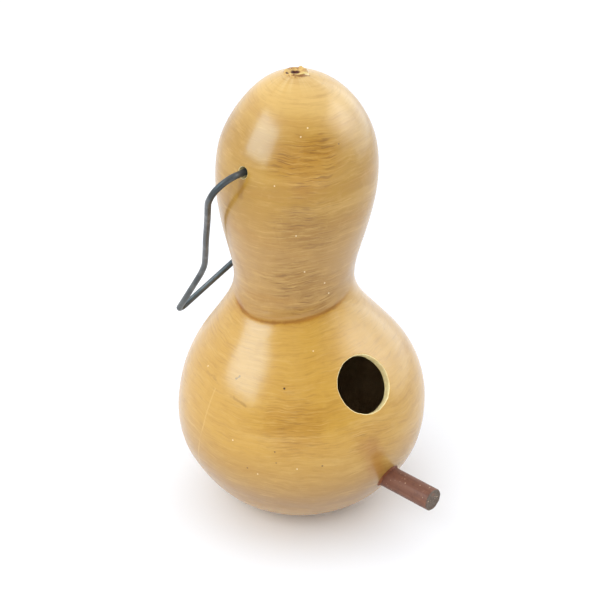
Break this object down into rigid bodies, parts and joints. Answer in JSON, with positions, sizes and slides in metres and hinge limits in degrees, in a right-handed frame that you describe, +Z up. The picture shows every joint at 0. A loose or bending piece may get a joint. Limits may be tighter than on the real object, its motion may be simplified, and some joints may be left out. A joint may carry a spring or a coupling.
{
  "type": "gourd birdhouse",
  "caption": "Dried bottle gourd made into a birdhouse: hollow two-lobed shell with a round entrance, a dowel perch and a swinging bent-wire bail.",
  "frame": {"origin": "middle of the small flat spot that the gourd stands on", "axes": "+Z up along the gourd, -Y along the perch (the front), +X to the right seen from the front; the bail swings about a line along X"},
  "size_m": [0.1401, 0.1969, 0.2569],
  "materials": {
    "varnished_gourd": "honey-brown dried gourd skin under satin varnish, with fine darker streaks round it",
    "stained_dowel": "red-brown stained dowel, satin, greyer end grain",
    "dark_wire": "dark grey annealed wire, semi-gloss"
  },
  "bodies": {
    "house": {"gourd": "varnished_gourd", "perch": "stained_dowel"},
    "bail": {"hanger": "dark_wire"}
  },
  "joints": [
    {"name": "bail_swing", "type": "hinge", "parent": "house", "child": "bail", "pos_m": [0, 0, 0.2148], "axis": [1, 0, 0], "range_deg": [-8, 295]}
  ]
}
